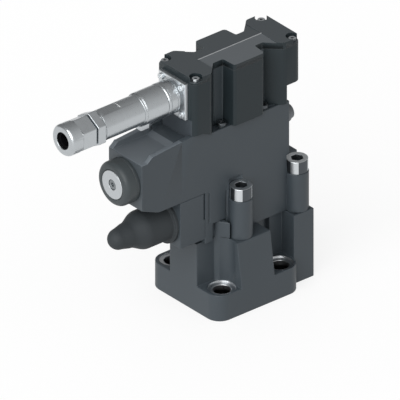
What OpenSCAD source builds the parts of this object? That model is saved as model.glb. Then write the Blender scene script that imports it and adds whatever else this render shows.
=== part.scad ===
// Pilot-operated proportional pressure relief valve for subplate mounting, with on-board driver.
// Origin: centre of the four mounting bolts, on the mounting face. +Z is up, the solenoid points to -X.

/* [Mounting face] */
// Pitch of the four mounting bolts, the same both ways
bolt_pitch = 53.8; // [50:0.1:56]
// Diameter of the mounting bolt holes
bolt_hole_d = 13; // [10:0.5:14]
// Diameter of the spotface and of the room for the bolt head above it
spotface_d = 20; // [18:0.5:21]
// Depth of the spotface below the flange top
spotface_depth = 1.5; // [0.5:0.5:4]
// Diameter of the pressure port and of the tank port
port_d = 14.5; // [10:0.5:15.5]
// Distance of the pressure port from the front bolt row
port_p_offset = 22.1; // [21:0.1:24]
// Distance between the pressure port and the tank port
port_pitch = 25.4; // [25:0.1:28]
// Outside diameter of the port seal recess
seal_recess_d = 22.4; // [20:0.1:23]
// Depth of the port seal recess
seal_recess_depth = 2; // [1.5:0.1:2.5]

/* [Main body] */
// Reach of the body in front of the bolt centre
body_front = 40; // [38:0.5:46]
// Reach of the square flange behind the bolt centre
flange_rear = 38.4; // [38:0.1:42]
// Half width of the flange
flange_half_w = 38; // [37:0.5:42]
// Height of the flange
flange_h = 21; // [16:0.5:26]
// Radius of the flange corners
flange_corner_r = 11; // [6:0.5:12]
// Height of the main body
body_h = 55.5; // [52:0.5:62]
// Half width of the column along the middle
column_half_w = 15; // [14.5:0.1:16]
// Front face of the crosswise column
cross_front = 17.5; // [16.9:0.1:18]
// Rear face of the crosswise column
cross_rear = 13; // [11:0.5:14]
// Taper of the crosswise column towards its top, on each side
cross_taper = 5; // [3:0.1:5.2]
// Length of the tail block behind the flange
tail_len = 18.5; // [18:0.5:22]
// Step from the side of the flange to the side of the tail block
tail_step = 9.5; // [6:0.5:9.5]

/* [Main stage] */
// Outside diameter of the main sleeve
sleeve_d = 26; // [24:0.5:27]
// Height of the lower end of the sleeve
sleeve_z = 14; // [12:0.5:15]
// Bore of the sleeve, in which the poppet slides
sleeve_bore_d = 17; // [15:0.5:18]
// Diameter of the main seat
main_seat_d = 12; // [10:0.5:13]
// Thickness of the seat wall at the lower end of the sleeve
main_seat_h = 4; // [3:0.5:5]
// Diameter of the flow windows in the sleeve
window_d = 8; // [6:0.5:8]
// Length of the main poppet
poppet_len = 28; // [26:0.5:30]
// Diameter of the gallery between the sleeve and the tank port
gallery_d = 12; // [9:0.5:13]

/* [Pilot body] */
// Half width of the pilot body and of the square solenoid
pilot_half_w = 18.45; // [18.3:0.05:19]
// Front face of the pilot body below the solenoid
pilot_front = 35; // [34:0.5:36]
// Rear face of the pilot body
pilot_rear = 42.7; // [41.5:0.1:43.5]
// Height of the pilot body above the solenoid axis
pilot_cap = 22; // [21:0.1:24]
// Front face of the limiter block
limiter_front = 58; // [55:0.5:62]
// Height of the limiter block above the limiter axis
limiter_up = 21.2; // [20:0.1:23]
// Depth of the limiter block below the limiter axis
limiter_down = 16.1; // [15:0.1:17.5]
// Height of the cheeks above the pilot body, at the driver
cheek_h = 4; // [3.5:0.5:6]
// Front face of the upper pilot body
upper_front = 56.6; // [55:0.1:58]

/* [Clamping screws] */
// Nominal diameter of the four clamping screws
clamp_d = 10; // [8:1:10]
// Diameter of the bosses around the clamping screws
clamp_boss_d = 17; // [16.5:0.5:17]
// Height of the seats of the clamping screw heads above the main body
clamp_seat_h = 30.8; // [26:0.1:35]
// Place of the front pair along X
clamp_front_x = -6.9; // [-8.5:0.1:-5]
// Depth of thread engagement in the main body
clamp_grip = 22; // [16:1:24]

/* [Maximum pressure limiter] */
// Height of the limiter axis above the main body
limiter_rise = 20.3; // [18:0.1:22]
// Diameter of the limiter cartridge
cartridge_d = 18; // [17:0.5:19]
// Outer diameter of the rubber boot along its straight part
boot_d = 29; // [28:0.5:30]
// Outer diameter of the boot's base flange
boot_flange_d = 34.4; // [32:0.2:35]
// Length of the boot from its base to its tip
boot_len = 50; // [48:0.5:54]
// Wall of the boot
boot_wall = 1.5; // [1:0.1:1.8]
// Length of the straight part of the boot
boot_shoulder_len = 21; // [16:0.5:24]
// Length of the boot's tip, from its neck
boot_tip_len = 14.5; // [12:0.5:18]
// Diameter of the boot's neck
boot_neck_d = 18.8; // [17:0.2:22]
// Diameter of the boot's round tip
boot_tip_d = 15.6; // [13:0.2:16.6]

/* [Solenoid] */
// Height of the solenoid axis above the limiter block
solenoid_rise = 25; // [23:0.1:27]
// Front face of the square solenoid housing
solenoid_front = 93.5; // [90:0.5:98]
// Thinnest wall of the solenoid housing around the coil
coil_wall = 2.45; // [1.5:0.05:4]
// Outer diameter of the pole tube
tube_d = 17.6; // [16:0.2:18]
// Wall of the pole tube
tube_wall = 1.8; // [1:0.1:2.5]
// Length of the armature
armature_len = 24; // [20:0.5:25]
// Diameter of the end nut
end_nut_d = 34; // [30:0.5:36]
// Length of the end nut
end_nut_len = 12.3; // [10:0.1:14]
// Diameter of the bright disc in the end nut
end_disc_d = 22; // [20:0.5:24]

/* [Driver housing] */
// Front face of the driver housing
driver_front = 47.6; // [46:0.1:48.5]
// Rear face of the driver housing
driver_rear = 51.2; // [50:0.1:53]
// Rear face of the lower part of the driver housing
driver_foot_rear = 38.4; // [38:0.1:41]
// Height of the driver with its lid
driver_h = 51; // [48:0.5:58]
// Height above the pilot body at which the driver housing reaches back over it
driver_overhang_h = 15; // [12:0.5:18]
// Height of the lid
lid_h = 5.2; // [4.8:0.1:6]
// Half width at the front lugs
front_lug_half_w = 20.9; // [20.5:0.1:22]
// Half width at the middle lobes
lobe_half_w = 22; // [21:0.1:23]
// Half width at the rear lugs
rear_lug_half_w = 21.2; // [20.8:0.1:22]
// Half width at the waists
waist_half_w = 10.3; // [9.8:0.1:10.8]
// Wall of the driver housing
driver_wall = 2.4; // [1.8:0.1:2.8]
// Floor of the driver housing
driver_floor = 3; // [2:0.5:4]
// Thickness of the lid gasket
gasket_t = 0.5; // [0.3:0.1:1]

/* [Connector] */
// Distance of the connector axis below the top of the lid
connector_drop = 20.2; // [20:0.1:22]
// Side of the square socket flange
socket_flange_w = 29.2; // [28:0.1:29.8]
// Thickness of the socket flange
socket_flange_t = 3; // [2:0.1:3.5]
// Diameter of the socket neck
socket_neck_d = 19.6; // [18:0.2:20.6]
// Length of the socket neck in front of the flange
socket_neck_len = 18; // [14:0.5:20]
// Diameter of the knurled coupling nut
coupling_d = 25; // [24:0.2:26]
// Length of the coupling nut
coupling_len = 10; // [8:0.5:12]
// Diameter of the plug sleeve behind the coupling nut
sleeve_plug_d = 24.6; // [24:0.2:26]
// Diameter of the plug barrel
barrel_d = 22.6; // [21:0.2:24]
// Length of the plug sleeve
plug_sleeve_len = 19.7; // [18:0.1:24]
// Length of the plug barrel
barrel_len = 35.5; // [28:0.5:40]
// Across flats of the gland collar
collar_af = 24; // [22:0.5:26]
// Length of the gland collar
collar_len = 9.5; // [8:0.5:12]
// Across flats of the gland nut
gland_af = 22.4; // [20:0.2:24]
// Length of the gland nut
gland_nut_len = 22.6; // [18:0.2:24]
// Bore of the gland nut mouth
gland_mouth_d = 13; // [11:0.5:14]
// Hole through the gland seal, where a cable would enter
cable_hole_d = 9.4; // [6:0.2:10]

/* [Hidden] */
$fn = 64;

// Clearances
fit = 0.05;      // radial running clearance of a shaft or plug in its bore
gap = 0.3;       // clearance between curved faces that don't fit each other
eps = 0.01;      // overshoot of a cut past a face

// Colours
cast_black = [0.29, 0.31, 0.33];
rubber_black = [0.22, 0.24, 0.25];
bright_steel = [0.75, 0.77, 0.79];
dark_steel = [0.45, 0.46, 0.48];
copper = [0.75, 0.42, 0.25];
board_green = [0.10, 0.35, 0.22];
plastic_black = [0.15, 0.16, 0.17];

// Places worked out from the driving sizes
bolt_x = bolt_pitch / 2;
port_p_x = port_p_offset - bolt_x;
port_t_x = port_p_x + port_pitch;
tail_rear = flange_rear + tail_len;
tail_half_w = flange_half_w - tail_step;
cross_top_half_w = flange_half_w - cross_taper;
limiter_z = body_h + limiter_rise;
limiter_top = limiter_z + limiter_up;
limiter_bottom = limiter_z - limiter_down;
solenoid_z = limiter_top + solenoid_rise;
pilot_top = solenoid_z + pilot_cap;
cheek_top = pilot_top + cheek_h;
cheek_t = 4;
cheek_nose = upper_front + 32;
cheek_nose_len = 5;
cheek_climb = 3.6;
trough_rise = pilot_cap - pilot_half_w;
trough_ramp = 5.6;
driver_top = pilot_top + driver_h;
driver_joint_z = driver_top - lid_h;
driver_overhang_z = pilot_top + driver_overhang_h;
clamp_seat_z = body_h + clamp_seat_h;
clamp_head_d = 1.6 * clamp_d;
groove_w = 1.4;
groove_depth = 1;
recess_h = 14;
recess_reach = 10.5;
clamp_front = [clamp_front_x, cross_top_half_w - clamp_boss_d / 2 - gap];
clamp_rear = [tail_rear - clamp_boss_d / 2, tail_half_w - clamp_boss_d / 2];
gallery_z = sleeve_z + main_seat_h + 6;
gallery_plug_len = 10;
gallery_plug_d = gallery_d + 3;
poppet_z = sleeve_z + main_seat_h;
drain_y = 5;
drilling_d = 3.2;
feed_room_d = 8;
feed_room_h = 10;
drain_rear_x = pilot_rear - 8.7;
drain_plug_len = 8;
drain_plug_d = 6;
gauge_plug_len = 12;
gauge_plug_d = 10;
gauge_head_len = 12;
gauge_cap_len = 3.5;
pilot_seat_len = 10;
pilot_chamber = 15;
pilot_seat_x = pilot_chamber - pilot_front;
limiter_chamber = 13;
limiter_seat_x = limiter_chamber - pilot_front;
limiter_seat_len = 10;
limiter_seat_d = cartridge_d - 6;
drain_front_x = limiter_seat_x - 3.5;
extension_half_w = 10;
extension_top = limiter_top - 2;
core_x = -upper_front - 9.4;
armature_end = core_x - 2;
core_grip = 12;
core_d = tube_d + 2.2;
tube_bore_d = tube_d - 2 * tube_wall;
rod_d = 4;
coil_d = 2 * (pilot_half_w - coil_wall);
coil_inset = 3;
bobbin_inset = 2;
bobbin_cheek = 2.3;
tube_front = solenoid_front + 5.5;
disc_x = solenoid_front + end_nut_len;
bleed_head_d = 8;
bleed_d = 4;
hex_flange_len = 6;
lock_nut_len = 5;
spring_bore_d = cartridge_d - 7;
stem_len = 10;
plate_t = 4;
limiter_plate_x = limiter_seat_x - stem_len - plate_t;
cup_x = 8 - limiter_front;
cup_len = 4;
thread_d = 8;
spindle_reach = 30;
boot_base_len = 2.5;
cone_stem_len = 12;
cone_collar_t = 3;
cone_tail_len = 3;
cone_collar_x = pilot_seat_x - cone_stem_len - cone_collar_t;
front_lug_end = 31.5;
front_waist_start = 21;
front_waist_end = 12;
lobe_front = 11;
lobe_rear = 16.6;
rear_waist_start = 17.4;
rear_waist_end = 24.6;
rear_lug_start = 36;
lid_screw_d = 3;
lid_head_d = 5.5;
lid_scallop_d = 9.4;
lid_screw_inset = 4.85;
lid_screw_x = [lid_screw_inset - driver_front, driver_rear - lid_screw_inset];
lid_screw_y = front_lug_half_w - 3.9;
foot_screw_d = 4;
foot_head_d = 7;
foot_screw_len = 9;
foot_front_inset = 3.8;
foot_rear_inset = 3.1;
foot_screw_x = [foot_front_inset - front_waist_start, rear_waist_end - foot_rear_inset];
foot_screw_y = pilot_half_w - 3.85;
ear_d = 7.6;
ear_t = 1;
lug_z = driver_top - 3.7;
roof_front = 26;
roof_rear = 32;
roof_drop = 0.7;
board_rise = 22;
board_t = 1.6;
connector_z = driver_top - connector_drop;
socket_front = driver_front + socket_flange_t;
neck_end = socket_front + socket_neck_len;
neck_bore_d = socket_neck_d - 3;
insert_reach = 4;
pin_d = 1.5;
pin_circle_d = 10;
coupling_x = socket_front + 1.9;
coupling_end = coupling_x + coupling_len;
plug_sleeve_end = coupling_end + plug_sleeve_len;
barrel_x = plug_sleeve_end + 1.8;
plug_bore_d = socket_neck_d - 3.4;
collar_x = barrel_x + barrel_len;
collar_end = collar_x + collar_len;
gland_spigot_d = gland_af - 3.4;
gland_spigot_len = 8;
gland_bore_d = gland_mouth_d + 2;
gland_end = collar_end + gland_nut_len;
gland_dome_extra = 0.9;

// Across corners of a hexagon from its width across flats
function corners(af) = af / cos(30);
// Unit vector
function unit(v) = v / norm(v);
// Points of the arc that rounds corner p1 of an outline, met by the sides from p0 and to p2
function corner_arc(p0, p1, p2, r, steps) =
    let (
        u = unit(p0 - p1),
        v = unit(p2 - p1),
        half = acos(max(-1, min(1, u * v))) / 2,
        centre = p1 + unit(u + v) * r / sin(half),
        start = p1 + u * r / tan(half) - centre,
        finish = p1 + v * r / tan(half) - centre,
        a0 = atan2(start.y, start.x),
        turn = atan2(start.x * finish.y - start.y * finish.x, start * finish)
    )
    [for (i = [0:steps]) centre + r * [cos(a0 + turn * i / steps), sin(a0 + turn * i / steps)]];
// Outline with each corner [x, y, r] rounded
function rounded(pts, steps = 4) = [
    for (i = [0:len(pts) - 1])
        let (p = pts[i], before = pts[(i + len(pts) - 1) % len(pts)], after = pts[(i + 1) % len(pts)])
        each (p[2] > 0
            ? corner_arc([before.x, before.y], [p.x, p.y], [after.x, after.y], p[2], steps)
            : [[p.x, p.y]])
];
// The half outline followed by its mirror image across Y = 0
function both_halves(half) = concat(half, [for (i = [len(half) - 1:-1:0]) [half[i].x, -half[i].y, half[i][2]]]);

// Half outline of the driver housing in plan
driver_half = [
    [-driver_front, front_lug_half_w, 5],
    [-front_lug_end, front_lug_half_w, 4],
    [-front_waist_start, waist_half_w, 2],
    [-front_waist_end, waist_half_w, 1.2],
    [-lobe_front, lobe_half_w, 2.5],
    [lobe_rear, lobe_half_w, 2.5],
    [rear_waist_start, waist_half_w, 1.2],
    [rear_waist_end, waist_half_w, 2],
    [rear_lug_start, rear_lug_half_w, 4],
    [driver_rear, rear_lug_half_w, 5],
];

// Cylinder along X, from x0 to x1
module rod_x(x0, x1, d, y = 0, z = 0) {
    translate([min(x0, x1), y, z]) rotate([0, 90, 0]) cylinder(h = abs(x1 - x0), d = d);
}

// Cylinder from z0 to z1
module rod_z(z0, z1, d, x = 0, y = 0) {
    translate([x, y, z0]) cylinder(h = z1 - z0, d = d);
}

// Hexagonal prism along X
module hex_x(x0, x1, af, z = 0) {
    translate([min(x0, x1), 0, z]) rotate([0, 90, 0]) cylinder(h = abs(x1 - x0), d = corners(af), $fn = 6);
}

// Solid turned about the X axis at height z; the profile is [radius, distance towards -X]
module turned_x(z, profile) {
    translate([0, 0, z]) rotate([0, -90, 0]) rotate_extrude() polygon(profile);
}

// Block between two corners, with the same half width on both sides of Y = 0
module middle_block(x0, x1, half_w, z0, z1) {
    translate([x0, -half_w, z0]) cube([x1 - x0, 2 * half_w, z1 - z0]);
}

// The children at both ends of a pair, mirrored across Y = 0
module both_sides() {
    children();
    mirror([0, 1, 0]) children();
}

// Socket head cap screw, head on top, seat at z = 0
module cap_screw(d, len, head_d, head_h, socket_af, socket_depth) {
    difference() {
        union() {
            cylinder(h = head_h, d = head_d);
            translate([0, 0, -len]) cylinder(h = len + eps, d = d - 2 * fit);
        }
        translate([0, 0, head_h - socket_depth])
            cylinder(h = socket_depth + 1, d = corners(socket_af), $fn = 6);
    }
}

// O-ring seated in a groove: flat section with round corners, squeezed to the given height
module seal_ring(inner_d, outer_d, h) {
    rotate_extrude()
        translate([inner_d / 2, 0])
            polygon(rounded([[0, 0, h / 4], [(outer_d - inner_d) / 2, 0, h / 4],
                [(outer_d - inner_d) / 2, h, h / 4], [0, h, h / 4]], 3));
}

// Coil spring along +Z, swept as one mesh with its ends cut square to the wire
module coil_spring(mean_d, wire_d, h, turns) {
    sides = 8;
    steps = round(turns * 14);
    rise = (h - wire_d) / steps;
    points = [
        for (i = [0:steps], k = [0:sides - 1])
            let (a = 360 * turns * i / steps, b = 360 * k / sides,
                r = mean_d / 2 + wire_d / 2 * cos(b))
            [r * cos(a), r * sin(a), wire_d / 2 + rise * i + wire_d / 2 * sin(b)]
    ];
    walls = [
        for (i = [0:steps - 1], k = [0:sides - 1])
            let (a = i * sides + k, b = i * sides + (k + 1) % sides)
            [a, b, b + sides, a + sides]
    ];
    caps = [[for (k = [sides - 1:-1:0]) k], [for (k = [0:sides - 1]) steps * sides + k]];
    polyhedron(points = points, faces = concat(walls, caps), convexity = 6);
}

// Main stage

// Lower part of the cast body: bolted flange with the ports
module main_flange() {
    color(cast_black)
    difference() {
        flange_plate();
        main_cuts();
    }
}

// Upper part of the same casting: crossed columns with their gussets
module main_column() {
    color(cast_black)
    difference() {
        union() {
            middle_block(-body_front, flange_rear, column_half_w, flange_h, body_h);
            cross_column();
            both_sides() corner_gusset();
        }
        main_cuts();
        both_sides() core_relief();
    }
}

// Rear part of the same casting: tail block behind the flange and the column
module main_tail() {
    color(cast_black)
    difference() {
        middle_block(flange_rear, tail_rear, tail_half_w, 0, body_h);
        main_cuts();
    }
}

// Bolt holes, ports, bores and threads of the main body
module main_cuts() {
    both_sides() for (x = [-bolt_x, bolt_x]) mounting_hole(x);
    for (x = [port_p_x, port_t_x]) rod_z(-1, seal_recess_depth, seal_recess_d, x);
    rod_z(0, sleeve_z + eps, port_d, port_p_x);
    rod_z(0, flange_h, port_d, port_t_x);
    rod_z(sleeve_z, body_h + 1, sleeve_d + 2 * fit, port_p_x);
    rod_x(port_p_x, tail_rear - gallery_plug_len, gallery_d, z = gallery_z);
    rod_x(tail_rear - gallery_plug_len - eps, tail_rear + 1, gallery_plug_d + 2 * fit, z = gallery_z);
    rod_z(gallery_z, body_h + 1, drilling_d, drain_rear_x, drain_y);
    both_sides() for (p = [clamp_front, clamp_rear])
        rod_z(body_h - clamp_grip - 3, body_h + 1, clamp_d, p.x, p.y);
}

// Flange with four round corners
module flange_plate() {
    r = flange_corner_r;
    translate([-body_front + r, -flange_half_w, 0])
        cube([body_front + flange_rear - 2 * r, 2 * flange_half_w, flange_h]);
    translate([-body_front, -flange_half_w + r, 0])
        cube([body_front + flange_rear, 2 * (flange_half_w - r), flange_h]);
    for (x = [-body_front + r, flange_rear - r], y = [-1, 1])
        translate([x, y * (flange_half_w - r), 0]) cylinder(h = flange_h, r = r);
}

// Crosswise column, drawn in towards its top
module cross_column() {
    translate([-cross_front, 0, 0]) rotate([90, 0, 90]) linear_extrude(cross_front + cross_rear)
        polygon([[-flange_half_w, flange_h], [flange_half_w, flange_h], [cross_top_half_w, body_h],
            [-cross_top_half_w, body_h]]);
}

// Slanting gusset in the inner corner between the two columns, at the front, raised beside the pilot body
module corner_gusset() {
    reach_x = 6.5;
    reach_y = 10;
    translate([-cross_front, column_half_w, flange_h]) linear_extrude(body_h + recess_h - 0.5 - flange_h)
        polygon([[-reach_x, -eps], [eps, -eps], [eps, reach_y]]);
}

// Mounting bolt hole with its spotface and the room for the bolt head above
module mounting_hole(x) {
    rod_z(-1, flange_h + 1, bolt_hole_d, x, bolt_x);
    rod_z(flange_h - spotface_depth, body_h + 1, spotface_d, x, bolt_x);
}

// Upright recess in the side of the column, behind the crosswise column
module core_relief() {
    relief_w = 5;
    relief_depth = 4.5;
    translate([cross_rear + 9, column_half_w - relief_depth, flange_h + 15])
        cube([relief_w, relief_depth + 1, body_h]);
}

// Two seals between the valve and its subplate
module port_seals() {
    color(rubber_black)
    for (x = [port_p_x, port_t_x])
        translate([x, 0, fit]) seal_ring(port_d + 2.6, seal_recess_d - 2 * fit, seal_recess_depth - 2 * fit);
}

// Sleeve with the main seat at its lower end and four flow windows
module main_sleeve() {
    groove_h = window_d + 3;
    color(dark_steel)
    translate([port_p_x, 0, 0])
    difference() {
        rod_z(sleeve_z, body_h, sleeve_d);
        rod_z(sleeve_z - 1, sleeve_z + main_seat_h + eps, main_seat_d);
        rod_z(sleeve_z + main_seat_h, body_h + 1, sleeve_bore_d);
        difference() {
            rod_z(gallery_z - groove_h / 2, gallery_z + groove_h / 2, sleeve_d + 2);
            rod_z(gallery_z - groove_h / 2 - 1, gallery_z + groove_h / 2 + 1, sleeve_d - 3);
        }
        for (a = [0, 90]) rotate(a) rod_x(-sleeve_d, sleeve_d, window_d, z = gallery_z);
    }
}

// Main poppet: guided skirt, spring pocket, cone on the seat and a small orifice
module main_poppet() {
    d = sleeve_bore_d - 2 * fit;
    seat_d = main_seat_d - 0.1;
    nose = 1.2;
    cone_h = (d - seat_d) / 2;
    color(bright_steel)
    translate([port_p_x, 0, poppet_z])
    difference() {
        rotate_extrude()
            polygon([[0, -nose], [seat_d / 2 - nose, -nose], [d / 2, cone_h],
                [d / 2, poppet_len], [0, poppet_len]]);
        rod_z(poppet_len / 2 - 2, poppet_len + 1, d - 4);
        rod_z(-nose - 1, poppet_len, 1.2);
    }
}

// Spring that closes the main poppet
module main_spring() {
    pocket_z = poppet_z + poppet_len / 2 - 2;
    color(bright_steel)
    translate([port_p_x, 0, pocket_z])
        coil_spring(sleeve_bore_d - 6.6, 1.5, body_h - pocket_z, 6.5);
}

// Orifice plug in the pilot feed, above the main spring
module orifice_plug() {
    color(bright_steel)
    translate([port_p_x, 0, body_h])
    difference() {
        rod_z(1, 8, 8 - 2 * fit);
        rod_z(0, 9, 1);
        rod_z(0, 4, corners(4), $fn = 6);
    }
}

// Plug that closes the tank gallery at the rear
module gallery_plug() {
    color(dark_steel)
    difference() {
        rod_x(tail_rear - gallery_plug_len, tail_rear - 0.5, gallery_plug_d, z = gallery_z);
        hex_x(tail_rear - 5, tail_rear, 8, gallery_z);
    }
}

// Seals in the joint between main body and pilot body, and behind the limiter block
module joint_seals() {
    color(rubber_black) {
        translate([port_p_x, 0, body_h]) seal_ring(sleeve_d - 6, sleeve_d - 2, 1.5);
        translate([drain_rear_x, drain_y, body_h]) seal_ring(5, 8, 1.5);
        translate([-pilot_front, 0, limiter_z]) rotate([0, 90, 0])
            seal_ring(cartridge_d + 4, cartridge_d + 8, 1.5);
    }
}

// Pilot stage

// Pilot body: tall block with the clamping bosses, the cheeks and all pilot drillings
module pilot_body() {
    color(cast_black)
    difference() {
        union() {
            middle_block(-pilot_front, pilot_rear, pilot_half_w, body_h, pilot_top);
            upper_block();
            cheeks(-upper_front, 0);
            middle_block(pilot_rear - eps, tail_rear, extension_half_w, body_h, extension_top);
            both_sides() {
                clamp_boss(clamp_front, 6);
                clamp_boss(clamp_rear, 7);
            }
        }
        pilot_bores();
        joint_seal_grooves();
        both_sides() for (p = [clamp_front, clamp_rear])
            union() {
                rod_z(body_h - 1, clamp_seat_z + 1, clamp_d + 1, p.x, p.y);
                rod_z(clamp_seat_z, clamp_seat_z + clamp_d + 4, clamp_head_d + 2 * gap, p.x, p.y);
            }
        both_sides() {
            side_groove(3 - pilot_front, limiter_z - 4.6, limiter_top - 1.5);
            side_groove(clamp_front_x - clamp_boss_d / 2 - 0.8, body_h + recess_h + 1, clamp_seat_z + 6);
            side_recess();
        }
        both_sides() for (x = foot_screw_x) rod_z(pilot_top - foot_screw_len, pilot_top + 1, foot_screw_d, x, foot_screw_y);
    }
}

// Upper part of the pilot body, which reaches forward over the limiter block to the solenoid
module upper_block() {
    side = [
        [-upper_front, limiter_top],
        [eps - pilot_front, limiter_top],
        [eps - pilot_front, pilot_top],
        [trough_ramp - upper_front, pilot_top],
        [-upper_front, pilot_top - trough_rise / 2],
    ];
    translate([0, pilot_half_w, 0]) rotate([90, 0, 0]) linear_extrude(2 * pilot_half_w) polygon(side);
}

// Side outline of a cheek, from its nose on the solenoid to its tail under the driver
module cheek_outline(nose) {
    polygon(rounded([
        [-nose, solenoid_z, 0],
        [-nose, solenoid_z + pilot_half_w, 0],
        [cheek_nose_len - nose, cheek_top - cheek_climb, 3],
        [-front_lug_end - 12, cheek_top, 10],
        [-front_lug_end - 8, cheek_top, 0],
        [1.5 - front_lug_end, pilot_top, 0],
        [1.5 - front_lug_end, solenoid_z, 0],
    ]));
}

// Raised cheeks along both sides, between x0 and x1; the left one starts at the front face
module cheeks(x0, x1) {
    intersection() {
        middle_block(x0, x1, pilot_half_w, pilot_top - trough_rise - 1, cheek_top);
        union() {
            cheek(cheek_t - pilot_half_w, cheek_nose);
            cheek(pilot_half_w, solenoid_front);
        }
    }
}

// One cheek, its left face at y
module cheek(y, nose) {
    translate([0, y, 0]) rotate([90, 0, 0]) linear_extrude(cheek_t) cheek_outline(nose);
}

// Boss for one clamping screw, with a web to the block
module clamp_boss(place, web_half) {
    rod_z(body_h, clamp_seat_z, clamp_boss_d, place.x, place.y);
    translate([place.x - web_half, 0, body_h])
        cube([2 * web_half, place.y, clamp_seat_z - body_h - 3]);
}

// Narrow upright groove in the side face, from z0 to z1
module side_groove(x, z0, z1) {
    translate([x, pilot_half_w - groove_depth, z0]) cube([groove_w, groove_depth + 1, z1 - z0]);
}

// Recess in the side face that leaves room for the raised gusset of the main body
module side_recess() {
    translate([-cross_front - recess_reach, column_half_w - gap, body_h - 1])
        cube([cross_front + recess_reach + clamp_front_x - clamp_boss_d / 2, pilot_half_w, recess_h + 1]);
}

// All bores of the pilot body
module pilot_bores() {
    // Feed from the main spring chamber to both pilot seats and to the gauge plug
    rod_z(body_h - 1, body_h + feed_room_h, feed_room_d, port_p_x);
    rod_z(body_h, solenoid_z, drilling_d, port_p_x);
    rod_x(limiter_seat_x + limiter_seat_len - eps, port_p_x, drilling_d, z = limiter_z);
    rod_x(pilot_seat_x + pilot_seat_len - eps, pilot_rear - gauge_plug_len, drilling_d, z = solenoid_z);
    rod_x(pilot_rear - gauge_plug_len - eps, pilot_rear + 1, gauge_plug_d + 2 * fit, z = solenoid_z);
    // Limiter bore and its seat
    rod_x(-pilot_front - 1, limiter_seat_x, cartridge_d + 2 * fit, z = limiter_z);
    rod_x(limiter_seat_x - eps, limiter_seat_x + limiter_seat_len, limiter_seat_d + 2 * fit, z = limiter_z);
    // Pole tube thread, pilot chamber and pilot seat
    rod_x(-upper_front - 1, -upper_front + core_grip, core_d + 2 * fit, z = solenoid_z);
    rod_x(-upper_front, pilot_seat_x, tube_bore_d, z = solenoid_z);
    rod_x(pilot_seat_x - eps, pilot_seat_x + pilot_seat_len, tube_bore_d + 2 * fit, z = solenoid_z);
    // Drain from both pilot chambers to the tank gallery
    rod_z(limiter_z, solenoid_z, drilling_d, drain_front_x, drain_y);
    rod_x(drain_front_x, tail_rear - drain_plug_len, drilling_d, drain_y, limiter_z);
    rod_x(tail_rear - drain_plug_len - eps, tail_rear + 1, drain_plug_d + 2 * fit, drain_y, limiter_z);
    rod_z(body_h - 1, limiter_z, drilling_d, drain_rear_x, drain_y);
}

// Grooves for the seals in the joint with the main body and with the limiter block
module joint_seal_grooves() {
    depth = 1.5 + fit;
    translate([port_p_x, 0, body_h]) ring_cut(sleeve_d - 6, sleeve_d - 2, depth);
    translate([drain_rear_x, drain_y, body_h]) ring_cut(5, 8, depth);
    translate([-pilot_front, 0, limiter_z]) rotate([0, 90, 0]) ring_cut(cartridge_d + 4, cartridge_d + 8, depth);
}

// Ring groove of rectangular section, cut from z = 0 upwards
module ring_cut(inner_d, outer_d, depth) {
    difference() {
        translate([0, 0, -1]) cylinder(h = depth + 1, d = outer_d + 2 * fit);
        translate([0, 0, -2]) cylinder(h = depth + 3, d = inner_d - 2 * fit);
    }
}

// Four socket head cap screws that clamp the pilot body to the main body
module clamp_screws() {
    color(bright_steel)
    both_sides() for (p = [clamp_front, clamp_rear])
        translate([p.x, p.y, clamp_seat_z])
            cap_screw(clamp_d, clamp_seat_h + clamp_grip, clamp_head_d, clamp_d, 0.8 * clamp_d, clamp_d / 2);
}

// Block that carries the limiter cartridge in front of the pilot body
module limiter_block() {
    color(cast_black)
    difference() {
        middle_block(-limiter_front, -pilot_front, pilot_half_w, limiter_bottom, limiter_top);
        rod_x(-limiter_front - 1, -pilot_front + 1, cartridge_d + 2 * fit, z = limiter_z);
        both_sides() side_groove(-pilot_front - groove_w, limiter_z, limiter_top + 1);
    }
}

// Threaded cartridge that guides the limiter poppet, with its hexagon in front of the block
module limiter_cartridge() {
    cartridge_end = limiter_seat_x - 8;
    color(dark_steel)
    difference() {
        union() {
            rod_x(-limiter_front, cartridge_end, cartridge_d, z = limiter_z);
            hex_x(-limiter_front - hex_flange_len, -limiter_front, cartridge_d + 4, limiter_z);
        }
        rod_x(-limiter_front + 2, cartridge_end + 1, spring_bore_d, z = limiter_z);
        rod_x(-limiter_front - hex_flange_len - 1, -limiter_front + 3, thread_d + 2 * fit, z = limiter_z);
    }
}

// Seat bush of the limiter
module limiter_seat() {
    color(bright_steel)
    difference() {
        rod_x(limiter_seat_x, limiter_seat_x + limiter_seat_len, limiter_seat_d, z = limiter_z);
        rod_x(limiter_seat_x - 1, limiter_seat_x + limiter_seat_len + 1, drilling_d, z = limiter_z);
    }
}

// Cone poppet of the limiter, with the plate that its spring presses on
module limiter_poppet() {
    r = spring_bore_d / 2 - fit;
    stem_r = drilling_d / 2 + 1.4;
    seat = -limiter_seat_x;
    color(bright_steel)
    turned_x(limiter_z, [[0, seat - 0.6], [stem_r - 2, seat - 0.6], [stem_r, seat + 2], [stem_r, seat + stem_len],
        [r, seat + stem_len], [r, -limiter_plate_x], [0, -limiter_plate_x]]);
}

// Spring between the limiter poppet and the spring cup
module limiter_spring() {
    color(bright_steel)
    translate([cup_x, 0, limiter_z]) rotate([0, 90, 0])
        coil_spring(spring_bore_d - 2.6, 1.6, limiter_plate_x - cup_x, 5);
}

// Cup that the adjusting spindle pushes against the limiter spring
module spring_cup() {
    color(dark_steel)
    rod_x(cup_x - cup_len, cup_x, spring_bore_d - 2 * fit, z = limiter_z);
}

// Adjusting spindle with a hexagon socket in its outer end
module adjust_spindle() {
    spindle_end = -limiter_front - spindle_reach;
    color(bright_steel)
    difference() {
        rod_x(spindle_end, cup_x - cup_len, thread_d, z = limiter_z);
        hex_x(spindle_end - 1, spindle_end + 5, 4, limiter_z);
    }
}

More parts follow.
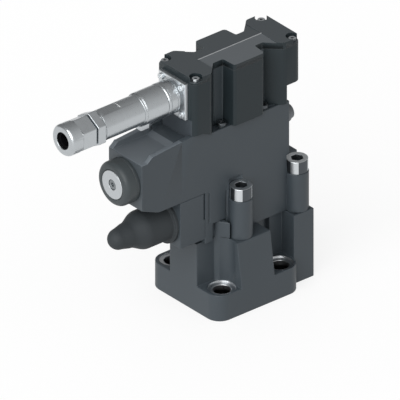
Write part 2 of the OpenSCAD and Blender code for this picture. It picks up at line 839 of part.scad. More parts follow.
// Lock nut of the adjusting spindle
module lock_nut() {
    color(bright_steel)
    difference() {
        hex_x(-limiter_front - hex_flange_len - lock_nut_len, -limiter_front - hex_flange_len, 13, limiter_z);
        rod_x(-limiter_front - hex_flange_len - lock_nut_len - 1, -limiter_front - hex_flange_len + 1,
            thread_d + 2 * fit, z = limiter_z);
    }
}

// Half section of the boot: base flange, straight part, shoulder and round tip; t is the wall taken off
function boot_profile(t) =
    let (
        base = limiter_front,
        r = boot_d / 2 - t,
        neck_r = boot_neck_d / 2 - t,
        tip_r = boot_tip_d / 2 - t,
        shoulder = base + boot_shoulder_len,
        neck = base + boot_len - boot_tip_len,
        tip_centre = base + boot_len - boot_tip_d / 2
    )
    concat(
        t > 0
            ? [[0, base - 1], [r, base - 1]]
            : [[0, base], [boot_flange_d / 2, base], [boot_flange_d / 2, base + boot_base_len - 0.8],
                [boot_flange_d / 2 - 0.8, base + boot_base_len], [r + 1.2, base + boot_base_len],
                [r, base + boot_base_len + 1.2]],
        [for (i = [0:8]) [r - (r - neck_r) * (1 - cos(180 * i / 8)) / 2, shoulder + (neck - shoulder) * i / 8]],
        [for (i = [0:8]) [tip_r * cos(90 * i / 8), tip_centre + tip_r * sin(90 * i / 8)]]
    );

// Rubber boot over the adjusting spindle
module limiter_boot() {
    color(rubber_black)
    difference() {
        turned_x(limiter_z, boot_profile(0));
        turned_x(limiter_z, boot_profile(boot_wall));
    }
}

// Plug of the drain drilling at the rear
module drain_plug() {
    color(dark_steel)
    difference() {
        rod_x(tail_rear - drain_plug_len, tail_rear - 0.5, drain_plug_d, drain_y, limiter_z);
        translate([0, drain_y, 0]) hex_x(tail_rear - drain_plug_len / 2, tail_rear, drain_plug_d / 2, limiter_z);
    }
}

// Plug of the gauge port at the rear of the pilot body
module gauge_plug() {
    head_d = gauge_plug_d + 4;
    head_end = pilot_rear + gauge_head_len;
    cap_end = head_end + gauge_cap_len;
    color(dark_steel)
    difference() {
        union() {
            rod_x(pilot_rear - gauge_plug_len + 2, pilot_rear + eps, gauge_plug_d, z = solenoid_z);
            rod_x(pilot_rear, head_end, head_d, z = solenoid_z);
            rod_x(head_end - eps, cap_end, head_d - 3, z = solenoid_z);
        }
        hex_x(head_end - 2, cap_end + 1, 6, solenoid_z);
    }
}

// Seat bush of the proportional pilot
module pilot_seat() {
    color(bright_steel)
    difference() {
        rod_x(pilot_seat_x, pilot_seat_x + pilot_seat_len, tube_bore_d, z = solenoid_z);
        rod_x(pilot_seat_x - 1, pilot_seat_x + pilot_seat_len + 1, 2.6, z = solenoid_z);
    }
}

// Pilot cone with its guide collar
module pilot_cone() {
    r = tube_bore_d / 2 - fit;
    stem_r = 3;
    seat = -pilot_seat_x;
    collar = seat + cone_stem_len;
    color(bright_steel)
    difference() {
        turned_x(solenoid_z, [[0, seat - 0.6], [stem_r / 4, seat - 0.6], [stem_r, seat + 2.4], [stem_r, collar],
            [r, collar], [r, collar + cone_collar_t], [stem_r, collar + cone_collar_t],
            [stem_r, collar + cone_collar_t + cone_tail_len], [0, collar + cone_collar_t + cone_tail_len]]);
        for (a = [0:90:270]) translate([cone_collar_x - 1, 0, solenoid_z]) rotate([a, 0, 0])
            translate([0, r - 1.5, -1]) cube([cone_collar_t + 2, 3, 2]);
    }
}

// Light spring between the pole tube and the cone's collar
module pilot_spring() {
    core_end = -upper_front + core_grip;
    color(bright_steel)
    translate([core_end, 0, solenoid_z]) rotate([0, 90, 0])
        coil_spring(tube_bore_d - 3.6, 1, cone_collar_x - core_end, 4);
}

// Rod that carries the armature's force to the pilot cone
module push_rod() {
    color(bright_steel)
    rod_x(armature_end, cone_collar_x - cone_tail_len, rod_d, z = solenoid_z);
}

// Armature of the solenoid
module armature() {
    vent_y = tube_bore_d / 2 - 2.5;
    color(dark_steel)
    difference() {
        rod_x(armature_end - armature_len, armature_end, tube_bore_d - 2 * fit, z = solenoid_z);
        for (y = [-vent_y, vent_y])
            rod_x(armature_end - armature_len - 1, armature_end + 1, 1.6, y, solenoid_z);
    }
}

// Pole tube with its fixed core, screwed into the pilot body
module pole_tube() {
    color(bright_steel)
    difference() {
        union() {
            rod_x(-tube_front, -upper_front + eps, tube_d, z = solenoid_z);
            rod_x(-upper_front, -upper_front + core_grip, core_d, z = solenoid_z);
        }
        rod_x(-tube_front - 1, core_x, tube_bore_d, z = solenoid_z);
        rod_x(core_x - 1, -upper_front + core_grip + 1, rod_d + 2 * fit, z = solenoid_z);
    }
}

// Copper winding of the coil
module coil_winding() {
    color(copper)
    difference() {
        rod_x(-solenoid_front + coil_inset + bobbin_cheek + 0.2, -upper_front - bobbin_inset - bobbin_cheek - 0.2,
            coil_d - 1.6, z = solenoid_z);
        rod_x(-solenoid_front, -upper_front, tube_d + 4.4, z = solenoid_z);
    }
}

// Moulded bobbin of the coil
module coil_bobbin() {
    color(plastic_black)
    difference() {
        union() {
            rod_x(-solenoid_front + coil_inset, -upper_front - bobbin_inset, tube_d + 4, z = solenoid_z);
            rod_x(-solenoid_front + coil_inset, -solenoid_front + coil_inset + bobbin_cheek, coil_d - 2 * gap,
                z = solenoid_z);
            rod_x(-upper_front - bobbin_inset - bobbin_cheek, -upper_front - bobbin_inset, coil_d - 2 * gap,
                z = solenoid_z);
        }
        rod_x(-solenoid_front, -upper_front, tube_d + 2 * gap, z = solenoid_z);
    }
}

// Square solenoid housing, its underside ramped down to the limiter block, its top a trough between two cheeks
module solenoid_housing() {
    half = pilot_half_w;
    ramp_inset = 21.4;
    side = [
        [-solenoid_front, solenoid_z - half, 0],
        [-upper_front - ramp_inset, limiter_top, 8],
        [-upper_front, limiter_top, 0],
        [-upper_front, solenoid_z + half + trough_rise / 2, 0],
        [-upper_front - trough_ramp, solenoid_z + half, 5],
        [-solenoid_front, solenoid_z + half, 0],
    ];
    color(cast_black)
    difference() {
        union() {
            translate([0, half, 0]) rotate([90, 0, 0]) linear_extrude(2 * half) polygon(rounded(side, 5));
            cheeks(-solenoid_front, -upper_front);
        }
        rod_x(-solenoid_front - 1, -upper_front + 1, tube_d + 2 * gap, z = solenoid_z);
        rod_x(-solenoid_front + coil_inset - gap, -upper_front - bobbin_inset + gap, coil_d, z = solenoid_z);
    }
}

// Round nut that holds the solenoid on the pole tube
module end_nut() {
    r = end_nut_d / 2;
    edge = 4;
    color(rubber_black)
    difference() {
        turned_x(solenoid_z, concat([[0, solenoid_front], [r - 0.6, solenoid_front], [r, solenoid_front + 0.6]],
            [for (i = [0:5]) [r - edge + edge * cos(18 * i), disc_x - edge + edge * sin(18 * i)]],
            [[0, disc_x]]));
        rod_x(-tube_front - eps, -solenoid_front + 1, tube_d + 2 * fit, z = solenoid_z);
        rod_x(-disc_x - 1, -tube_front, end_disc_d + 2 * gap, z = solenoid_z);
    }
}

// Bright end disc of the pole tube, with its spigot
module end_disc() {
    color(bright_steel)
    difference() {
        union() {
            rod_x(-disc_x, -tube_front, end_disc_d, z = solenoid_z);
            rod_x(-tube_front - eps, -tube_front + 3, tube_bore_d - 2 * fit, z = solenoid_z);
        }
        rod_x(-disc_x - 1, -disc_x + 3, bleed_head_d, z = solenoid_z);
        rod_x(-disc_x, -tube_front + 4, bleed_d + 2 * fit, z = solenoid_z);
    }
}

// Bleed screw in the middle of the end disc
module bleed_screw() {
    color(bright_steel)
    difference() {
        union() {
            rod_x(-disc_x + 0.5, -disc_x + 3, bleed_head_d - 2 * gap, z = solenoid_z);
            rod_x(-disc_x + 3 - eps, -tube_front + 2, bleed_d, z = solenoid_z);
        }
        hex_x(-disc_x, -disc_x + 2, 3, solenoid_z);
    }
}

// Driver and its connector

// Outline of the driver housing in plan
module driver_plan() {
    polygon(rounded(both_halves(driver_half)));
}

// Driver housing: open box with lobes and waists, standing on the pilot body
module driver_housing() {
    wall = driver_wall;
    inner_z = pilot_top + driver_floor;
    color(cast_black)
    difference() {
        union() {
            difference() {
                translate([0, 0, pilot_top]) linear_extrude(driver_joint_z - gasket_t - pilot_top) driver_plan();
                middle_block(driver_foot_rear, driver_rear + 1, lobe_half_w + 1, pilot_top - 1, driver_overhang_z);
            }
            foot_ears();
        }
        both_sides() translate([0, 2 * pilot_half_w - cheek_t - gap, 0]) rotate([90, 0, 0])
            linear_extrude(pilot_half_w) cheek_outline(cheek_nose);
        middle_block(-driver_front + wall, driver_foot_rear - wall, waist_half_w - wall, inner_z, driver_top);
        middle_block(driver_foot_rear - wall - 1, driver_rear - wall, waist_half_w - wall,
            driver_overhang_z + wall, driver_top);
        driver_rooms(inner_z, driver_top);
        both_sides() for (x = lid_screw_x)
            rod_z(driver_joint_z - 12, driver_joint_z + 1, lid_screw_d, x, lid_screw_y);
        both_sides() for (x = foot_screw_x)
            rod_z(pilot_top - 1, pilot_top + 4, foot_screw_d + 2 * gap, x, foot_screw_y);
        rod_x(-driver_front - 1, -driver_front + wall + 1, socket_neck_d - 2, z = connector_z);
        socket_screw_places(-driver_front - 1) cylinder(h = 2.9, d = 2.5);
    }
}

// Rooms in the lugs and in the middle lobe, from z0 to z1
module driver_rooms(z0, z1) {
    middle_block(-driver_front + driver_wall, 0.5 - front_lug_end, lid_screw_y - 5, z0, z1);
    middle_block(2 - lobe_front, lobe_rear - 2, lobe_half_w - driver_wall, z0, z1);
    middle_block(rear_lug_start - 3, lid_screw_x[1] - 9.4, lid_screw_y - 4, z0, z1);
}

// Flat ears in the waists, for the screws that hold the driver down
module foot_ears() {
    both_sides() for (x = foot_screw_x) {
        rod_z(pilot_top, pilot_top + ear_t, ear_d, x, foot_screw_y);
        translate([x - ear_d / 2, 0, pilot_top]) cube([ear_d, foot_screw_y, ear_t]);
    }
}

// Gasket between driver housing and lid: a band that follows the walls
module driver_gasket() {
    wall = driver_wall;
    color(rubber_black)
    translate([0, 0, driver_joint_z - gasket_t])
    difference() {
        linear_extrude(gasket_t) driver_plan();
        middle_block(-driver_front + wall, driver_rear - wall, waist_half_w - wall, -1, 2);
        driver_rooms(-1, 2);
        both_sides() for (x = lid_screw_x) rod_z(-1, 2, lid_screw_d + 2 * gap, x, lid_screw_y);
    }
}

// Lid with a roof ridge along the middle and a scallop around each screw
module driver_lid() {
    color(cast_black)
    difference() {
        translate([0, 0, driver_joint_z]) linear_extrude(driver_top - driver_joint_z) driver_plan();
        both_sides() for (x = lid_screw_x) {
            rod_z(lug_z, driver_top + 1, lid_scallop_d, x, lid_screw_y);
            rod_z(driver_joint_z - 1, lug_z + 1, lid_screw_d + 2 * gap, x, lid_screw_y);
        }
        both_sides() roof_cut();
        middle_block(-driver_front + driver_wall + 1, driver_rear - driver_wall - 1, waist_half_w - driver_wall - 1,
            driver_joint_z - 1, driver_joint_z + 1.5);
    }
}

// Wedge that slopes the lid down from its ridge, over the middle lobe
module roof_cut() {
    translate([roof_rear, 0, driver_top]) rotate([90, 0, -90]) linear_extrude(roof_front + roof_rear)
        polygon([[0, 0], [lobe_half_w + 1, -roof_drop], [lobe_half_w + 1, 1], [0, 1]]);
}

// Four screws of the lid
module lid_screws() {
    color(bright_steel)
    both_sides() for (x = lid_screw_x)
        translate([x, lid_screw_y, lug_z])
            cap_screw(lid_screw_d, lug_z - driver_joint_z + 10, lid_head_d, 2.2, 2, 1.4);
}

// Four screws that hold the driver housing down on the pilot body
module foot_screws() {
    color(bright_steel)
    both_sides() for (x = foot_screw_x)
        translate([x, foot_screw_y, pilot_top + ear_t])
            cap_screw(foot_screw_d, foot_screw_len, foot_head_d, 2.4, 2.5, 1.4);
}

// Circuit board with its posts and a few components
module circuit_board() {
    floor_z = pilot_top + driver_floor;
    board_z = floor_z + board_rise;
    board_top = board_z + board_t;
    post_y = lobe_half_w - 8;
    capacitor_y = lobe_half_w - 13;
    color(board_green) {
        middle_block(-driver_front + 6, driver_foot_rear - 5, waist_half_w - driver_wall - 0.6, board_z, board_top);
        middle_block(3.5 - lobe_front, lobe_rear - 3.6, lobe_half_w - driver_wall - 2, board_z, board_top);
        for (x = [7 - lobe_front, lobe_rear - 7.6], y = [-post_y, post_y]) rod_z(floor_z, board_z + eps, 5, x, y);
        for (x = [8 - lobe_front, lobe_rear - 9.6]) rod_z(board_top - eps, board_top + 9, 8, x, capacitor_y);
        middle_block(-front_lug_end - 4.5, -front_waist_start - 1, 5, board_top - eps, board_top + 3);
        middle_block(rear_waist_start + 2.6, rear_lug_start - 5, 5.5, board_top - eps, board_top + 5);
    }
}

// The children at the four corner screws of the socket flange, pointing into the housing
module socket_screw_places(x) {
    reach = socket_flange_w / 2 - 3.6;
    for (y = [-reach, reach], z = [-reach, reach])
        translate([x, y, connector_z + z]) rotate([0, 90, 0]) children();
}

// Square flange of the socket with its threaded neck
module socket_flange() {
    half = socket_flange_w / 2;
    color(bright_steel)
    difference() {
        union() {
            middle_block(-socket_front, -driver_front, half, connector_z - half, connector_z + half);
            rod_x(-neck_end, -driver_front, socket_neck_d, z = connector_z);
        }
        rod_x(-neck_end - 1, -driver_front + 1, neck_bore_d, z = connector_z);
        socket_screw_places(-socket_front - 1) cylinder(h = socket_flange_t + 2, d = 3.4);
    }
}

// Four screws of the socket flange
module socket_screws() {
    color(bright_steel)
    socket_screw_places(-socket_front) mirror([0, 0, 1]) cap_screw(2.6, 0.1, 5.2, 1.8, 2, 1);
    color(bright_steel)
    socket_screw_places(-socket_front - eps) cylinder(h = 4.5, d = 2.5 - 2 * fit);
}

// Insulating insert of the socket, which carries the pins
module socket_insert() {
    color(plastic_black)
    difference() {
        rod_x(-socket_front - insert_reach, -driver_front, neck_bore_d - 2 * fit, z = connector_z);
        contact_places(-socket_front - insert_reach - 1)
            cylinder(h = insert_reach + socket_flange_t + 2, d = pin_d + 2 * fit);
    }
}

// The children at the seven contacts, six on a circle and one in the middle
module contact_places(x) {
    translate([x, 0, connector_z]) rotate([0, 90, 0]) {
        children();
        for (a = [0:60:300]) rotate(a) translate([pin_circle_d / 2, 0, 0]) children();
    }
}

// Contact pins of the socket
module contact_pins() {
    color([0.85, 0.70, 0.35])
    contact_places(-neck_end + 4) cylinder(h = socket_neck_len + 1, d = pin_d);
}

// Coupling nut over the neck of the socket
module coupling_nut() {
    color(bright_steel)
    difference() {
        rod_x(-coupling_end, -coupling_x, coupling_d, z = connector_z);
        rod_x(-coupling_end - 1, -coupling_x + 1, socket_neck_d + 2 * fit, z = connector_z);
    }
}

// Plug sleeve behind the coupling nut
module plug_sleeve() {
    color(bright_steel)
    difference() {
        union() {
            rod_x(-plug_sleeve_end, -coupling_end - gap, sleeve_plug_d, z = connector_z);
            rod_x(-barrel_x, -plug_sleeve_end + eps, sleeve_plug_d - 1.6, z = connector_z);
        }
        rod_x(-neck_end - 0.5, -coupling_x, socket_neck_d + 2 * fit, z = connector_z);
        rod_x(-barrel_x - 1, -neck_end, plug_bore_d, z = connector_z);
    }
}

// Insulating insert of the plug, with a hole for each pin
module plug_insert() {
    color(plastic_black)
    difference() {
        rod_x(-barrel_x, -socket_front - insert_reach - 0.5, plug_bore_d - 2 * fit, z = connector_z);
        contact_places(-neck_end - 1) cylinder(h = socket_neck_len, d = pin_d + 4 * fit);
    }
}

// Small lug under the plug, beside the ring
module plug_lug() {
    lug_x = -plug_sleeve_end - 1;
    lug_len = 8;
    color(bright_steel)
    difference() {
        translate([lug_x, -5, connector_z - sleeve_plug_d / 2 - 3.2]) cube([lug_len, 8, 4.6]);
        rod_x(lug_x - 1, lug_x + lug_len + 1, sleeve_plug_d + 2 * fit, z = connector_z);
    }
}

// Plug barrel with two wrench flats near its outer end
module plug_barrel() {
    flat_af = barrel_d - 2;
    flat_len = 15.5;
    color(bright_steel)
    difference() {
        rod_x(-collar_x, -barrel_x, barrel_d, z = connector_z);
        rod_x(-collar_x - 1, -barrel_x + 1, barrel_d - 5, z = connector_z);
        for (side = [0, 180]) translate([0, 0, connector_z]) rotate([side, 0, 0])
            translate([-collar_x + 3, -barrel_d, flat_af / 2]) cube([flat_len, 2 * barrel_d, 5]);
    }
}

// Hexagonal collar of the cable gland
module gland_collar() {
    color(bright_steel)
    difference() {
        union() {
            hex_x(-collar_end + 1, -collar_x - 1.5, collar_af, connector_z);
            rod_x(-collar_x - 1.5 - eps, -collar_x, barrel_d, z = connector_z);
            rod_x(-collar_end - gland_spigot_len, -collar_end + 1 + eps, gland_spigot_d, z = connector_z);
        }
        rod_x(-collar_end - gland_spigot_len - 1, -collar_x + 1, gland_bore_d, z = connector_z);
    }
}

// Rubber seal in the gland, with the hole where a cable would enter
module gland_seal() {
    color(rubber_black)
    difference() {
        rod_x(-gland_end + 2.4, -collar_end + 3, gland_bore_d - 2 * fit, z = connector_z);
        rod_x(-gland_end, -collar_end + 4, cable_hole_d, z = connector_z);
    }
}

// Gland nut: hexagon at the rear, domed front and a round mouth
module gland_nut() {
    hex_len = gland_nut_len * 0.55;
    r = gland_af / 2 + gland_dome_extra;
    dome_r = 2.6;
    color(bright_steel)
    difference() {
        union() {
            hex_x(-collar_end - hex_len, -collar_end, gland_af, connector_z);
            turned_x(connector_z, concat([[0, collar_end + hex_len - eps], [r, collar_end + hex_len - eps]],
                [for (i = [0:6]) [r - dome_r * (1 - cos(15 * i)), gland_end - dome_r * (1 - sin(15 * i))]],
                [[0, gland_end]]));
        }
        rod_x(-collar_end - gland_spigot_len - 0.4, -collar_end + 1, gland_spigot_d + 2 * fit, z = connector_z);
        rod_x(-gland_end + 2, -collar_end, gland_bore_d + 2 * fit, z = connector_z);
        rod_x(-gland_end - 1, -gland_end + 3, gland_mouth_d, z = connector_z);
    }
}

main_flange();
main_column();
main_tail();
port_seals();
main_sleeve();
main_poppet();
main_spring();
orifice_plug();
gallery_plug();
joint_seals();
pilot_body();
clamp_screws();
limiter_block();
limiter_cartridge();
limiter_seat();
limiter_poppet();
limiter_spring();
spring_cup();
adjust_spindle();
lock_nut();
limiter_boot();
drain_plug();
gauge_plug();
pilot_seat();
pilot_cone();
pilot_spring();
push_rod();
armature();
pole_tube();
coil_winding();
coil_bobbin();
solenoid_housing();
end_nut();
end_disc();
bleed_screw();
driver_housing();
driver_gasket();
driver_lid();
lid_screws();
foot_screws();
circuit_board();
socket_flange();
socket_screws();
socket_insert();
contact_pins();
coupling_nut();
plug_sleeve();
plug_insert();
plug_lug();
plug_barrel();
gland_collar();
gland_seal();
gland_nut();
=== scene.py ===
import math

import bmesh
import bpy
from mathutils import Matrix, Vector


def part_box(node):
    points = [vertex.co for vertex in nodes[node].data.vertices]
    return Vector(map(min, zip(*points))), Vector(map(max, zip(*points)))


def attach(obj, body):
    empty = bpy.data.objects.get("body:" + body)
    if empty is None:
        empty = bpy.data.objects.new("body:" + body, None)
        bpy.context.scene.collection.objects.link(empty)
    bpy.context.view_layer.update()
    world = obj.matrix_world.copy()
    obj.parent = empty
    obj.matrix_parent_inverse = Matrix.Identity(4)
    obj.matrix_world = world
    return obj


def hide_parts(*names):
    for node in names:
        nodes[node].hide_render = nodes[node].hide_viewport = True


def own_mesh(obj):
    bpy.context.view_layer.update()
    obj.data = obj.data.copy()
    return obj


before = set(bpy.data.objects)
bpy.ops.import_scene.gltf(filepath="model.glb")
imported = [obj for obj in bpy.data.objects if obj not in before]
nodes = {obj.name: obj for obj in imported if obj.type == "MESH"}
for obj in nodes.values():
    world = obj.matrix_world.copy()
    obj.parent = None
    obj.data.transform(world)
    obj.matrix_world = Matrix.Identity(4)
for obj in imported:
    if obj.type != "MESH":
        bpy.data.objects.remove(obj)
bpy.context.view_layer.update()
mm = 0.001

# Camera: a parallel view from the front right, turned 40 degrees and tilted down 30 degrees,
# with the width of the picture set by the spacing of the four mounting bolts.
view_turn = math.radians(40)
view_tilt = math.radians(30)
pixels_per_mm = 1.413
picture_pixels = 400
centre_right, centre_up = -26.5, 86.2
camera_distance = 1.5
picture_width = picture_pixels / pixels_per_mm * mm
right = Vector((math.cos(view_turn), -math.sin(view_turn), 0))
ahead = Vector((math.sin(view_turn) * math.cos(view_tilt), math.cos(view_turn) * math.cos(view_tilt),
                -math.sin(view_tilt)))
upward = right.cross(ahead)
picture_centre = right * (centre_right / pixels_per_mm * mm) + upward * (centre_up / pixels_per_mm * mm)
camera_data = bpy.data.cameras.new("camera")
camera_data.type = "ORTHO"
camera_data.ortho_scale = picture_width
camera_data.clip_end = 10
camera = bpy.data.objects.new("camera", camera_data)
camera.location = picture_centre - ahead * camera_distance
camera.rotation_euler = (-ahead).to_track_quat("Z", "Y").to_euler()
bpy.context.scene.collection.objects.link(camera)
bpy.context.scene.camera = camera
bpy.context.scene.view_settings.view_transform = "Standard"


# Studio: a pale floor that runs out of the picture, an even sky and one broad soft lamp from the front left.
# The shader helpers that every finish below uses start here.
class Wire:
    """A shader socket that takes part in Python arithmetic; each operator adds one Math node."""

    def __init__(self, tree, socket):
        self.tree = tree
        self.socket = socket

    def math(self, operation, *values):
        node = self.tree.nodes.new("ShaderNodeMath")
        node.operation = operation
        for place, value in enumerate(values):
            plug(self.tree, value, node.inputs[place])
        return Wire(self.tree, node.outputs[0])

    def __add__(self, other):
        return self.math("ADD", self, other)

    def __radd__(self, other):
        return self.math("ADD", other, self)

    def __sub__(self, other):
        return self.math("SUBTRACT", self, other)

    def __rsub__(self, other):
        return self.math("SUBTRACT", other, self)

    def __mul__(self, other):
        return self.math("MULTIPLY", self, other)

    def __rmul__(self, other):
        return self.math("MULTIPLY", other, self)

    def __truediv__(self, other):
        return self.math("DIVIDE", self, other)

    def __pow__(self, other):
        return self.math("POWER", self, other)

    def __abs__(self):
        return self.math("ABSOLUTE", self)

    def clamp(self, low=0.0, high=1.0):
        return self.math("MAXIMUM", self.math("MINIMUM", self, high), low)

    def sine(self):
        return self.math("SINE", self)

    def root(self):
        return self.math("SQRT", self)

    def below(self, limit):
        return self.math("LESS_THAN", self, limit)

    def above(self, limit):
        return self.math("GREATER_THAN", self, limit)


def plug(tree, value, socket):
    """Links a wire to a socket, or writes a plain value into it."""
    if isinstance(value, Wire):
        tree.links.new(value.socket, socket)
    else:
        socket.default_value = value


class Finish:
    """A procedural material: its node tree, its shader and the nodes that vary it."""

    def __init__(self, name, colour, roughness, metallic=0.0, **constants):
        self.material = bpy.data.materials.new(name)
        self.material.use_nodes = True
        self.tree = self.material.node_tree
        self.shader = self.tree.nodes["Principled BSDF"]
        self.colour = (*colour, 1)
        self.shader.inputs["Base Color"].default_value = self.colour
        self.shader.inputs["Roughness"].default_value = roughness
        self.shader.inputs["Metallic"].default_value = metallic
        for socket, value in constants.items():
            self.shader.inputs[socket.replace("_", " ")].default_value = value
        self.material.diffuse_color = self.colour

    def add(self, kind, settings=None, output=0, **values):
        """Adds a node, sets it up, feeds its sockets and returns one output as a wire."""
        node = self.tree.nodes.new(kind)
        for setting, value in (settings or {}).items():
            setattr(node, setting, value)
        for socket, value in values.items():
            plug(self.tree, value, node.inputs[socket.replace("_", " ")])
        return Wire(self.tree, node.outputs[output])

    def place(self):
        """Object coordinates as one vector."""
        return self.add("ShaderNodeTexCoord", output=3)

    def axes(self):
        """The three components of the object coordinates."""
        node = self.tree.nodes.new("ShaderNodeSeparateXYZ")
        plug(self.tree, self.place(), node.inputs[0])
        return [Wire(self.tree, node.outputs[i]) for i in range(3)]

    def stretched(self, scale):
        """Object coordinates, stretched by a scale along each axis."""
        return self.add("ShaderNodeMapping", Vector=self.place(), Scale=scale)

    def noise(self, scale, detail=3.0, vector=None):
        return self.add("ShaderNodeTexNoise", Vector=vector or self.place(), Scale=scale, Detail=detail,
                        Roughness=0.55)

    def blend(self, factor, first, second):
        """Mixes two colours."""
        node = self.tree.nodes.new("ShaderNodeMix")
        node.data_type = "RGBA"
        plug(self.tree, factor, node.inputs[0])
        plug(self.tree, first, node.inputs[6])
        plug(self.tree, second, node.inputs[7])
        return Wire(self.tree, node.outputs[2])

    def tone(self, brightness):
        """The finish's own colour, darker or lighter."""
        return (*[min(1.0, c * brightness) for c in self.colour[:3]], 1)

    def edges(self, radius):
        """0 on flat faces, rising along sharp edges within that radius."""
        rounded = self.add("ShaderNodeBevel", {"samples": 6}, Radius=radius)
        plain = self.add("ShaderNodeNewGeometry", output=1)
        likeness = self.tree.nodes.new("ShaderNodeVectorMath")
        likeness.operation = "DOT_PRODUCT"
        plug(self.tree, rounded, likeness.inputs[0])
        plug(self.tree, plain, likeness.inputs[1])
        return 1 - Wire(self.tree, likeness.outputs["Value"])

    def set(self, socket, value):
        plug(self.tree, value, self.shader.inputs[socket])

    def relief(self, height, depth, edge=0.0):
        """Bumps the surface by a height pattern, and rounds sharp edges by a small radius."""
        values = {"Height": height, "Distance": depth, "Strength": 1.0}
        if edge:
            values["Normal"] = self.add("ShaderNodeBevel", {"samples": 4}, Radius=edge)
        self.set("Normal", self.add("ShaderNodeBump", **values))


def pale_floor():
    size = 6
    mesh = bpy.data.meshes.new("floor")
    shape = bmesh.new()
    bmesh.ops.create_grid(shape, x_segments=1, y_segments=1, size=size)
    shape.to_mesh(mesh)
    floor = bpy.data.objects.new("floor", mesh)
    bpy.context.scene.collection.objects.link(floor)
    finish = Finish("floor_paper", (0.50, 0.50, 0.50), 0.9)
    grain = finish.noise(300)
    seen = finish.add("ShaderNodeLightPath", output=0)
    glossy = finish.add("ShaderNodeLightPath", output=3)
    paper = finish.blend(grain, finish.tone(0.98), finish.tone(1.02))
    finish.set("Base Color", finish.blend(seen, paper, (1, 1, 1, 1)))
    glow = finish.add("ShaderNodeEmission", Color=(1, 1, 1, 1), Strength=1.0)
    mixed = finish.add("ShaderNodeMixShader", Fac=seen * 0.8 + glossy * 0.75)
    node = mixed.socket.node
    finish.tree.links.new(finish.shader.outputs[0], node.inputs[1])
    finish.tree.links.new(glow.socket, node.inputs[2])
    finish.tree.links.new(mixed.socket, finish.tree.nodes["Material Output"].inputs["Surface"])
    mesh.materials.append(finish.material)


def even_sky():
    world = bpy.data.worlds.new("sky")
    bpy.context.scene.world = world
    world.use_nodes = True
    tree = world.node_tree
    back = tree.nodes["Background"]
    path = tree.nodes.new("ShaderNodeLightPath")
    seen = Wire(tree, path.outputs["Is Camera Ray"])
    mirrored = Wire(tree, path.outputs["Is Glossy Ray"])
    direct = tree.nodes.new("ShaderNodeTexCoord")
    split = tree.nodes.new("ShaderNodeSeparateXYZ")
    tree.links.new(direct.outputs["Generated"], split.inputs[0])
    y = Wire(tree, split.outputs[1])
    # Seen in metal, the studio is brighter on the near side than beyond the valve
    diffuse_level = 0.60
    mirror_level = 0.40 - y * 0.26 + y * y * 0.08
    level = seen + (1 - seen) * (mirrored * mirror_level + (1 - mirrored) * diffuse_level)
    back.inputs["Color"].default_value = (1, 1, 1, 1)
    tree.links.new(level.socket, back.inputs["Strength"])


def soft_lamp(name, towards, strength, spread):
    lamp_data = bpy.data.lights.new(name, "SUN")
    lamp_data.energy = strength
    lamp_data.angle = math.radians(spread)
    lamp = bpy.data.objects.new(name, lamp_data)
    lamp.rotation_euler = Vector(towards).to_track_quat("Z", "Y").to_euler()
    bpy.context.scene.collection.objects.link(lamp)


pale_floor()
even_sky()
soft_lamp("key_lamp", (-0.80, -0.30, 0.52), 2.4, 60)


# Cast bodies: grey iron, painted satin black-grey over the fine grain of the casting, paler along the edges.
# The bolt holes and their seats are machined bright. The main casting is bolted to the subplate, and the
# pilot casting is clamped on top of it, with the limiter's block and the solenoid's shell in front.
sharp_angle = math.radians(30)
crease_angle = math.radians(50)
flat_angle = math.radians(1)
soft_steps = 2
weld = 0.01 * mm
plane_slack = 0.02 * mm
slack = 0.1 * mm


def settle(name, shape, finishes, body, slot, *stands_for, soft=0.0, keep=None):
    """Makes an object of a bmesh on its body and in place of its CAD nodes, with softened edges where soft is
    given. The edges that the keep test picks stay sharp."""
    bmesh.ops.recalc_face_normals(shape, faces=shape.faces)
    if soft:
        soften(shape, soft, keep, stands_for)
    mesh = bpy.data.meshes.new(name)
    shape.to_mesh(mesh)
    shape.free()
    for finish in finishes:
        mesh.materials.append(finish)
    mesh.shade_smooth()
    mesh.set_sharp_from_angle(angle=crease_angle if soft else sharp_angle)
    piece = bpy.data.objects.new(name, mesh)
    bpy.context.scene.collection.objects.link(piece)
    weighted = piece.modifiers.new("flat_faces", "WEIGHTED_NORMAL")
    weighted.keep_sharp = True
    weighted.weight = 100
    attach(piece, body)
    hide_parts(*stands_for)
    return piece


def soften(shape, width, keep, names):
    """Bevels the sharp edges longer than the bevel is wide. The corners that it pushes out, by up to 0.3 mm,
    are held inside the box of the CAD nodes with those names."""
    sharp = [edge for edge in shape.edges
             if len(edge.link_faces) == 2 and edge.calc_face_angle(0) > sharp_angle
             and edge.calc_length() > width and not (keep and keep(edge))]
    bmesh.ops.bevel(shape, geom=sharp, offset=width, offset_type="OFFSET", segments=soft_steps, profile=0.5,
                    affect="EDGES", material=-1, clamp_overlap=False, loop_slide=False)
    boxes = [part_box(name) for name in names]
    for axis in range(3):
        low = min(box[0][axis] for box in boxes)
        high = max(box[1][axis] for box in boxes)
        for vert in shape.verts:
            vert.co[axis] = min(max(vert.co[axis], low), high)


def merge_faces(shape, *roundings):
    """Merges flat triangles, rounds the edges that each (test, radius, steps) picks, and splits the faces
    that have more than four corners."""
    bmesh.ops.remove_doubles(shape, verts=shape.verts, dist=weld)
    bmesh.ops.dissolve_limit(shape, angle_limit=flat_angle, verts=shape.verts, edges=shape.edges)
    for picked, radius, steps in roundings:
        bmesh.ops.bevel(shape, geom=[edge for edge in shape.edges if picked(edge)], offset=radius,
                        offset_type="OFFSET", segments=steps, profile=0.5, affect="EDGES", material=-1,
                        clamp_overlap=True)
    bmesh.ops.triangulate(shape, faces=[face for face in shape.faces if len(face.verts) > 4])


def node_copy(name, *roundings):
    """A bmesh of a CAD node with its triangles merged into larger faces and some edges rounded."""
    shape = bmesh.new()
    shape.from_mesh(nodes[name].data)
    merge_faces(shape, *roundings)
    return shape


